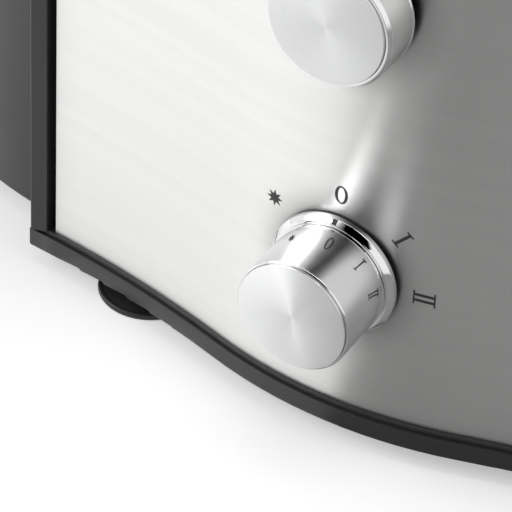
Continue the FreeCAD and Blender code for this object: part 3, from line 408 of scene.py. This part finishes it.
def join_pieces(name, pieces):
    """Joins mesh pieces into one."""
    shape = bmesh.new()
    for piece in pieces:
        shape.from_mesh(piece.data)
    joined = mesh_object(name, [], [], pieces[0].data.materials[0])
    shape.to_mesh(joined.data)
    shape.free()
    joined.data.polygons.foreach_set("use_smooth", np.ones(len(joined.data.polygons), bool))
    joined.data.set_sharp_from_angle(angle=math.radians(HARD_ANGLE))
    for piece in pieces:
        bpy.data.objects.remove(piece)
    return joined


round_mark = np.linspace(0, 2 * np.pi, 64, endpoint=False)[:, None]
ZERO_HALF = 0.0023
zero_share = np.linspace(0, 1, 3)
zero = np.stack([(ZERO_HALF - STROKE * zero_share) * np.sin(round_mark),
                 (MARK_HEIGHT / 2 - HAIR * zero_share) * np.cos(round_mark)], -1)
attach(surface("mark_zero", on_bearing(zero, 0, False), print_ink, wrap_u=True), "base")

BURST_POINTS, BURST_IN, BURST_OUT = 8, 0.0015, 0.0031
burst_turn = np.linspace(0, 2 * np.pi, 2 * BURST_POINTS, endpoint=False)[:, None]
burst_reach = np.where(np.arange(2 * BURST_POINTS) % 2, BURST_IN, BURST_OUT)[:, None] * np.linspace(1, 0, 4)
burst = np.stack([burst_reach * np.sin(burst_turn), burst_reach * np.cos(burst_turn)], -1)
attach(surface("mark_burst", on_bearing(burst, -55, False), print_ink, wrap_u=True), "base")

NUMERALS = (("mark_one", (0,), 0.0015, 46), ("mark_two", (-0.0011, 0.0011), 0.0027, 90))
for mark, stems, half, bearing_deg in NUMERALS:
    serif_places = (-MARK_HEIGHT / 2, MARK_HEIGHT / 2)
    strokes = [stroke(-half, up - HAIR / 2, half, up + HAIR / 2) for up in serif_places]
    strokes += [stroke(x - STROKE / 2, -MARK_HEIGHT / 2, x + STROKE / 2, MARK_HEIGHT / 2) for x in stems]
    parts = [surface("stroke", on_bearing(grid, bearing_deg, True), print_ink) for grid in strokes]
    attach(join_pieces(mark, parts), "base")

# ---- Selector knob -----------------------------------------------------------------------------------
# A chromed cap whose face is a spun aluminium disc that stands a little proud, on a chromed skirt with a
# small pointer notch; it is pushed onto the switch's spindle and turns with it.


def polished(name, tint, roughness, smudge):
    """Mirror metal with faint wandering smudges in its gloss."""
    material, tree = new_material(name)
    where = add_node(tree, "TexCoord").outputs["Object"]
    cloud = add_node(tree, "TexNoise", Vector=where, Scale=60.0, Detail=4.0)
    gloss = add_node(tree, "MapRange", Value=cloud.outputs["Fac"], From_Min=0.35, From_Max=0.75,
                     To_Min=roughness, To_Max=roughness + smudge)
    shader = add_node(tree, "BsdfPrincipled", Base_Color=(*tint, 1), Metallic=1.0,
                      Roughness=gloss.outputs[0])
    add_node(tree, "OutputMaterial", Surface=shader.outputs[0])
    return material


def spun(name, tint, centre, roughness, anisotropy, keep=(1, 0, 1)):
    """Metal turned on a lathe: rings round the centre, and a highlight that fans out from it."""
    material, tree = new_material(name)
    where = add_node(tree, "TexCoord").outputs["Object"]
    outward = add_node(tree, "VectorMath", operation="SUBTRACT", _0=where, _1=tuple(centre))
    flat = add_node(tree, "VectorMath", operation="MULTIPLY", _0=outward.outputs[0], _1=keep)
    radius = add_node(tree, "VectorMath", operation="LENGTH", _0=flat.outputs[0])
    rings = add_node(tree, "TexNoise", noise_dimensions="1D", W=radius.outputs["Value"], Scale=5200.0,
                     Detail=2.0)
    shade = add_node(tree, "MapRange", Value=rings.outputs["Fac"], From_Min=0.3, From_Max=0.7,
                     To_Min=0.93, To_Max=1.03)
    colour = add_node(tree, "VectorMath", operation="MULTIPLY", _0=(*tint,), _1=shade.outputs[0])
    bump = add_node(tree, "Bump", Height=rings.outputs["Fac"], Strength=0.1, Distance=0.00003)
    shader = add_node(tree, "BsdfPrincipled", Base_Color=colour.outputs[0], Metallic=1.0,
                      Roughness=roughness, Anisotropic=anisotropy, Tangent=flat.outputs[0],
                      Normal=bump.outputs[0])
    add_node(tree, "OutputMaterial", Surface=shader.outputs[0])
    return material


def rounded_profile(corners, radius, steps=5):
    """Closed outline in (radius, height) with every corner cut to an arc tangent to both its sides."""
    corners = np.asarray(corners, float)
    before, after = np.roll(corners, 1, 0) - corners, np.roll(corners, -1, 0) - corners
    length_before, length_after = np.linalg.norm(before, axis=1), np.linalg.norm(after, axis=1)
    before, after = before / length_before[:, None], after / length_after[:, None]
    half_turn = np.arccos(np.clip((before * after).sum(1), -1, 1)) / 2
    reach = np.minimum(radius / np.tan(half_turn), 0.45 * np.minimum(length_before, length_after))
    reach = np.where(corners[:, 0] > 0, reach, 0)
    t = np.linspace(0, 1, steps)[None, :, None]
    start, end = corners + before * reach[:, None], corners + after * reach[:, None]
    arc = (1 - t) ** 2 * start[:, None] + 2 * t * (1 - t) * corners[:, None] + t ** 2 * end[:, None]
    return arc.reshape(-1, 2)


FRONTWARD = np.array([[1, 0, 0], [0, 0, 1], [0, -1, 0]], float)
BACKWARD = np.array([[1, 0, 0], [0, 0, 1], [0, 1, 0]], float)
UPWARD = np.eye(3)


def turned(name, outline, centre, facing, material, radius, steps=128):
    """Solid of revolution: the rounded outline swept round the local third axis, then set at its centre."""
    profile = rounded_profile(outline, radius)
    angle = np.linspace(0, 2 * np.pi, steps, endpoint=False)[:, None]
    local = np.stack([profile[:, 0] * np.cos(angle), profile[:, 0] * np.sin(angle),
                      np.broadcast_to(profile[:, 1], (steps, len(profile)))], -1)
    return surface(name, local @ facing + np.array(centre), material, wrap_u=True, wrap_v=True)


def in_front(node):
    """How far in front of the steel a node starts and ends, and its radius."""
    low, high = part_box(node)
    return steel_low.y - high.y, steel_low.y - low.y, (high.z - low.z) / 2


ROUND_SMALL = 0.0002
ROUND_LARGE = 0.0005
chrome = polished("polished chrome", (0.82, 0.82, 0.83), 0.03, 0.05)
satin_disc = spun("spun aluminium face", (0.95, 0.955, 0.96), knob_centre, 0.3, 0.9)

ring_back, ring_front, ring_radius = in_front("knob_ring")
SKIRT_BORE = 0.0073
SKIRT_SLOPE = 0.0015
skirt_outline = [(SKIRT_BORE, ring_back), (ring_radius, ring_back), (ring_radius, ring_front - 0.0016),
                 (ring_radius - SKIRT_SLOPE, ring_front), (SKIRT_BORE, ring_front)]
stand_in(turned("knob_skirt", skirt_outline, knob_centre, FRONTWARD, chrome, ROUND_LARGE), "knob_ring")
knob_back, knob_front, knob_radius = in_front("selector_knob")
DISC_INSET = 0.0008
DISC_PROUD = 0.0009
DISC_SEAT = 0.0016
KNOB_WALL = 0.0024
FLOOR_BACK = 0.0042
BORE, STEM = 0.0032, 0.0065
inside = knob_radius - KNOB_WALL
rim_front = knob_front - DISC_PROUD
cap_outline = [(BORE, knob_back + 0.0018), (STEM, knob_back + 0.0018), (STEM, knob_front - FLOOR_BACK),
               (inside, knob_front - FLOOR_BACK), (inside, knob_back), (knob_radius, knob_back),
               (knob_radius, rim_front - 0.0004), (knob_radius - 0.0004, rim_front),
               (knob_radius - DISC_INSET, rim_front), (knob_radius - DISC_INSET, knob_front - DISC_SEAT),
               (BORE, knob_front - DISC_SEAT)]
stand_in(turned("knob_cap", cap_outline, knob_centre, FRONTWARD, chrome, 0.0004), "selector_knob")
face_back, face_front = in_front("knob_face")[:2]
disc_edge = knob_radius - DISC_INSET - 0.0001
face_outline = [(0, face_back), (disc_edge, face_back), (disc_edge, face_front), (0, face_front)]
stand_in(turned("knob_disc", face_outline, knob_centre, FRONTWARD, satin_disc, ROUND_SMALL), "knob_face")
pointer_angle = np.linspace(-0.035, 0.035, 3)[:, None]
pointer_radius = np.array([ring_radius - 0.0013, ring_radius + 0.00002])[None, :]
pointer_depth = steel_low.y - ring_front + np.array([-0.00003, 0.0014])
pointer = np.stack([pointer_radius * np.sin(pointer_angle), np.broadcast_to(pointer_depth, (3, 2)),
                    pointer_radius * np.cos(pointer_angle) + knob_centre.z], -1)
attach(surface("knob_pointer", pointer, print_ink), "knob")

# ---- Locking arm -------------------------------------------------------------------------------------
# A hoop of die-cast aluminium in satin black, carried on a pin at the front and at the back; chromed
# caps with proud spun discs cover the pins, and a rubber grip is moulded over the middle of the bar.

arm_black = finish("satin black coating", (0.02, 0.02, 0.02), 0.34, grain=0.2, grain_size=0.0005, coat=0.2)
soft_black = finish("moulded rubber", (0.022, 0.022, 0.022), 0.6, grain=0.5, grain_size=0.0007)
acetal = finish("acetal", (0.78, 0.78, 0.75), 0.4)
rounded_copy("locking_arm", arm_black, 0.0008)
rounded_copy("arm_grip", soft_black, 0.0009)
dress_nodes(acetal, "pivot_bushes")

cap_low, cap_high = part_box("hub_caps")
cap_radius = (cap_high.z - cap_low.z) / 2
cap_centre_z = (cap_high.z + cap_low.z) / 2
SKIRT_CLEAR = 0.0021
skirt_back = SKIRT_CLEAR - steel_low.y
CAP_DEEP = cap_high.y - skirt_back
RIM_DEEP = CAP_DEEP - DISC_PROUD
BOSS_ROOM = 0.0009
CAP_WALL = 0.0021
CAP_FLOOR = 0.0034
satin_cap = polished("satin chrome", (0.85, 0.85, 0.85), 0.16, 0.06)
satin_cap_disc = spun("spun cap disc", (0.95, 0.955, 0.96), (0, 0, cap_centre_z), 0.55, 0.3)
cap_outline = [(cap_radius - BOSS_ROOM, 0), (cap_radius, 0), (cap_radius, 0.0005),
               (cap_radius - 0.0003, 0.0009), (cap_radius - 0.0002, RIM_DEEP - 0.0014),
               (cap_radius - 0.001, RIM_DEEP), (cap_radius - CAP_WALL, RIM_DEEP),
               (cap_radius - CAP_WALL, CAP_DEEP - CAP_WALL), (0, CAP_DEEP - CAP_WALL),
               (0, CAP_DEEP - CAP_FLOOR), (cap_radius - BOSS_ROOM - 0.0006, CAP_DEEP - CAP_FLOOR)]
disc_radius = cap_radius - 0.0022
disc_outline = [(0, CAP_DEEP - 0.002), (disc_radius, CAP_DEEP - 0.002), (disc_radius, CAP_DEEP - 0.0001),
                (0, CAP_DEEP - 0.0001)]
for side, facing, sign in (("front", FRONTWARD, -1), ("back", BACKWARD, 1)):
    centre = (0, sign * skirt_back, cap_centre_z)
    cap = turned(f"arm_cap_{side}", cap_outline, centre, facing, satin_cap, 0.0003)
    disc = turned(f"arm_cap_disc_{side}", disc_outline, centre, facing, satin_cap_disc, ROUND_SMALL)
    stand_in(cap, "hub_caps")
    stand_in(disc, "cap_discs")

# ---- Suction feet ------------------------------------------------------------------------------------
# Four soft black rubber dishes pressed onto studs under the tray, each flared to a thin sealing lip.

foot_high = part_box("suction_feet")[1]
FOOT_RADIUS = 0.0179
foot_outline = [(0, 0.0022), (0.009, 0.0022), (FOOT_RADIUS - 0.0026, 0), (FOOT_RADIUS - 0.0004, 0),
                (FOOT_RADIUS, 0.0008), (FOOT_RADIUS - 0.0003, 0.0022), (FOOT_RADIUS - 0.002, 0.0022),
                (0.0112, 0.0034), (0.0083, 0.0046), (0.0083, foot_high.z), (0, foot_high.z)]
foot_rubber = finish("foot rubber", (0.018, 0.018, 0.018), 0.45, grain=0.2)
feet = []
for across in (-1, 1):
    for deep in (-1, 1):
        centre = (across * (foot_high.x - FOOT_RADIUS), deep * (foot_high.y - FOOT_RADIUS), 0)
        feet.append(turned("foot", foot_outline, centre, UPWARD, foot_rubber, 0.0005, 64))
stand_in(join_pieces("suction_feet_finished", feet), "suction_feet")

# ---- Pulp bin ----------------------------------------------------------------------------------------
# A deep crescent tub moulded in dark grey ABS that hugs the base's flank under the hood, with a heel
# drawn in at its foot and a ribbed finger grip moulded on its nose.

bin_grey = finish("satin dark grey ABS", (0.034, 0.034, 0.037), 0.38, grain=0.2, grain_size=0.0005)
rounded_copy("pulp_bin", bin_grey, 0.0008)
rounded_copy("bin_grip", bin_grey, 0.001)
grip_low, grip_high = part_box("bin_grip")
RIBS, RIB_HALF, RIB_PROUD = 7, 0.0007, 0.0005
rib_arc = np.linspace(0, np.pi, 7)
rib_x = np.linspace(grip_low.x + 0.002, grip_high.x - 0.001, 2)
for rib, rib_y in enumerate(np.linspace(grip_low.y + 0.006, grip_high.y - 0.006, RIBS)):
    rib_grid = np.stack(np.broadcast_arrays(rib_x[:, None], rib_y + RIB_HALF * np.cos(rib_arc),
                                            grip_high.z + RIB_PROUD * np.sin(rib_arc) - 0.0001), -1)
    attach(surface(f"bin_grip_rib_{rib}", rib_grid, bin_grey, wrap_v=True), "bin")

# ---- Juice bowl and spout ----------------------------------------------------------------------------
# The bowl sits on the motor base round the shaft's chimney and catches the juice; its snout pours to the
# right. Both are glossy black ABS.

gloss_black = finish("glossy black ABS", (0.02, 0.02, 0.021), 0.16, mottle=0.03, coat=0.3)
rounded_copy("juice_bowl", gloss_black, 0.0007)
rounded_copy("juice_spout", gloss_black, 0.0009)

# ---- Lid, hood and feed chute ------------------------------------------------------------------------
# The lid is one moulding of smoked clear SAN that domes over the basket and reaches left as a hood over
# the bin; the wide feed chute stands in its middle, with a chromed collar round its mouth.


def smoked_clear(name, tint, roughness):
    """Clear plastic with a faint haze that comes and goes."""
    material, tree = new_material(name)
    where = add_node(tree, "TexCoord").outputs["Object"]
    cloud = add_node(tree, "TexNoise", Vector=where, Scale=25.0, Detail=3.0)
    gloss = add_node(tree, "MapRange", Value=cloud.outputs["Fac"], From_Min=0.35, From_Max=0.7,
                     To_Min=roughness, To_Max=roughness + 0.06)
    colour = add_node(tree, "Mix", data_type="RGBA", _0=cloud.outputs["Fac"], _6=(*tint, 1),
                      _7=(*(channel * 0.94 for channel in tint), 1))
    shader = add_node(tree, "BsdfPrincipled", Base_Color=colour.outputs[2], Roughness=gloss.outputs[0],
                      Transmission_Weight=0.9, IOR=1.45)
    add_node(tree, "OutputMaterial", Surface=shader.outputs[0])
    return material


lid_clear = smoked_clear("smoked clear SAN", (0.62, 0.64, 0.67), 0.04)
rounded_copy("lid", lid_clear, 0)
rounded_copy("feed_chute", lid_clear, 0.0008)
rounded_copy("chute_collar", chrome, 0.0004)

# ---- Food pusher -------------------------------------------------------------------------------------
# A hollow glossy black plunger that slides down the chute, with a soft ribbed ring round its head.

rounded_copy("food_pusher", gloss_black, 0.0008)
grip_box_low, grip_box_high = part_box("pusher_grip")
GRIP_TEETH = 90
tooth_turn = np.linspace(0, 2 * np.pi, GRIP_TEETH * 4, endpoint=False)[:, None]
ring_in, ring_out = grip_box_high.x - 0.0022, grip_box_high.x
ring_up = np.array([0, 0.12, 0.3, 0.5, 0.7, 0.86, 1, 1, 0.5, 0])[None, :]
ring_shape = np.array([0.25, 0.8, 1, 1, 1, 0.7, 0.1, 0, 0, 0])[None, :]
ripple = 0.86 + 0.14 * np.cos(GRIP_TEETH * tooth_turn)
ring_radius_grid = ring_in + (ring_out - ring_in) * ring_shape * ripple
ring_points = np.stack([ring_radius_grid * np.cos(tooth_turn), ring_radius_grid * np.sin(tooth_turn),
                        grip_box_low.z + (grip_box_high.z - grip_box_low.z) * ring_up
                        + 0 * tooth_turn], -1)
stand_in(surface("pusher_grip_ribbed", ring_points, soft_black, wrap_u=True, wrap_v=True, angle=50),
         "pusher_grip")

# ---- Strainer basket ---------------------------------------------------------------------------------
# A cone of perforated stainless steel held between a rolled rim and a nylon floor, with the grating
# disc riveted on the floor; the whole basket drops on the drive coupling and spins.

basket_steel = spun("spun stainless steel", (0.72, 0.72, 0.71), (0, 0, 0), 0.3, 0.6, keep=(1, 1, 0))
cone_low, cone_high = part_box("filter_basket")
disc_low_corner, disc_high_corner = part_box("grater_disc")
CELLS_ROUND, CELLS_UP, SHEET_THICK = 180, 15, 0.0004
cone_foot = disc_high_corner.x + 0.0022


def strainer():
    """Cone sheet cut in cells: in each, eight quads join the cell's edge to a round hole."""
    turn = np.arange(8) * np.pi / 4
    square = np.stack([np.cos(turn), np.sin(turn)], -1)
    square = 0.5 * square / np.abs(square).max(-1, keepdims=True)
    hole = 0.27 * np.stack([np.cos(turn), np.sin(turn)], -1)
    local = np.concatenate([square, hole]) + 0.5
    column, row = np.meshgrid(np.arange(CELLS_ROUND), np.arange(CELLS_UP), indexing="ij")
    across = (column[..., None] + local[:, 0]) / CELLS_ROUND * 2 * np.pi
    up = (row[..., None] + local[:, 1]) / CELLS_UP
    radius = cone_foot + (cone_high.x - cone_foot) * up
    points = np.stack([radius * np.cos(across), radius * np.sin(across),
                       cone_low.z + 0.0006 + (cone_high.z - cone_low.z - 0.0006) * up], -1)
    k = np.arange(8)
    ring = np.stack([k, (k + 1) % 8, 8 + (k + 1) % 8, 8 + k], -1)
    faces = ring[None] + 16 * np.arange(CELLS_ROUND * CELLS_UP)[:, None, None]
    return points, faces.reshape(-1, 4)


sheet_points, sheet_faces = strainer()
strainer_piece = mesh_object("strainer_sheet", sheet_points, sheet_faces, basket_steel)
tidy_mesh(strainer_piece.data)
thicken = strainer_piece.modifiers.new("sheet thickness", "SOLIDIFY")
thicken.thickness = SHEET_THICK
thicken.offset = 0
stand_in(strainer_piece, "filter_basket")
rounded_copy("basket_rim", basket_steel, 0.0009)
rounded_copy("grater_disc", basket_steel, 0.0003)
nylon_white = finish("natural nylon", (0.72, 0.72, 0.69), 0.38)
rounded_copy("basket_hub", nylon_white, 0.0005)

ROWS, TEETH, TOOTH_LONG, TOOTH_WIDE, TOOTH_HIGH = 12, 14, 0.0022, 0.0014, 0.0011
disc_top = disc_low_corner.z + 0.0012
tooth_row, tooth_step = np.meshgrid(np.arange(ROWS), np.arange(TEETH), indexing="ij")
tooth_radius = 0.015 + tooth_step * 0.003
tooth_angle = 2 * np.pi * tooth_row / ROWS + tooth_step * 0.055
tooth_corners = np.array([[-1, -1, 0], [-1, 1, 0], [1, 1, 0], [1, -1, 0], [0.4, 0, 1]])
tooth_local = tooth_corners * [TOOTH_LONG / 2, TOOTH_WIDE / 2, TOOTH_HIGH]
outward_x = tooth_radius[..., None] + tooth_local[:, 1]
cosine, sine = np.cos(tooth_angle)[..., None], np.sin(tooth_angle)[..., None]
tooth_points = np.stack([outward_x * cosine - tooth_local[:, 0] * sine,
                         outward_x * sine + tooth_local[:, 0] * cosine,
                         np.broadcast_to(disc_top + tooth_local[:, 2], outward_x.shape)], -1)
tooth_faces = np.array([[0, 1, 4], [1, 2, 4], [2, 3, 4], [3, 0, 4], [0, 3, 2], [0, 2, 1]])
grater_teeth = mesh_object("grater_teeth", tooth_points,
                           (tooth_faces[None] + 5 * np.arange(ROWS * TEETH)[:, None, None]).reshape(-1, 3),
                           basket_steel)
tidy_mesh(grater_teeth.data)
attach(grater_teeth, "rotor")

# ---- Motor, switch and wiring parts inside the base --------------------------------------------------
# A universal motor hangs from the deck on four rubber mounts: stamped core, enamelled windings, brushes
# on a copper commutator and a nylon fan; beside it sit the control board, switches and terminals.


def banded(name, tint, roughness, metallic, pitch, axis):
    """Surface with fine lines a pitch apart along an axis, as stacked sheets or wound wire show."""
    material, tree = new_material(name)
    where = add_node(tree, "TexCoord").outputs["Object"]
    lines = add_node(tree, "TexWave", wave_type="BANDS", bands_direction=axis, Vector=where,
                     Scale=1 / (pitch * 20), Distortion=0.4, Detail=1.0)
    shade = add_node(tree, "MapRange", Value=lines.outputs["Fac"], To_Min=0.72, To_Max=1.06)
    colour = add_node(tree, "VectorMath", operation="MULTIPLY", _0=(*tint,), _1=shade.outputs[0])
    bump = add_node(tree, "Bump", Height=lines.outputs["Fac"], Strength=0.3, Distance=0.0001)
    shader = add_node(tree, "BsdfPrincipled", Base_Color=colour.outputs[0], Metallic=metallic,
                      Roughness=roughness, Normal=bump.outputs[0])
    add_node(tree, "OutputMaterial", Surface=shader.outputs[0])
    return material


dress_nodes(banded("stacked motor laminations", (0.3, 0.3, 0.31), 0.45, 0.9, 0.001, "Z"),
            "stator_core", "armature_core")
dress_nodes(banded("enamelled copper wire", (0.62, 0.3, 0.14), 0.35, 0.9, 0.0008, "Z"), "field_coils")
dress_nodes(banded("wound armature wire", (0.6, 0.28, 0.13), 0.35, 0.9, 0.0008, "X"), "armature_windings")
dress_nodes(finish("commutator copper", (0.7, 0.38, 0.22), 0.3, metallic=1.0, mottle=0.1), "commutator")
dress_nodes(finish("galvanised plate", (0.42, 0.42, 0.43), 0.42, metallic=0.9, mottle=0.09),
            "lower_bracket", "upper_bracket", "thermal_cutout")
dress_nodes(finish("ground bearing steel", (0.62, 0.62, 0.63), 0.18, metallic=1.0),
            "lower_bearing", "upper_bearing", "motor_shaft", "switch_spindle", "pivot_pins")
dress_nodes(finish("zinc plate", (0.6, 0.6, 0.56), 0.3, metallic=1.0, mottle=0.08),
            "base_screws", "motor_bolts")
dress_nodes(finish("brush carbon", (0.03, 0.03, 0.03), 0.6, grain=0.4), "brushes")
dress_nodes(finish("brush brass", (0.7, 0.55, 0.25), 0.3, metallic=1.0, mottle=0.07), "brush_holders")
dress_nodes(finish("black nylon", (0.05, 0.05, 0.05), 0.45, grain=0.2), "brush_rails", "rotary_switch",
            "board_standoffs", "terminal_block", "interlock_switch", "cooling_fan", "drive_coupling")
dress_nodes(finish("solder mask", (0.03, 0.14, 0.06), 0.3, mottle=0.1), "control_board")
dress_nodes(foot_rubber, "motor_mounts", "shaft_seal")
rounded_copy("cord_gland", foot_rubber, 0.0005)
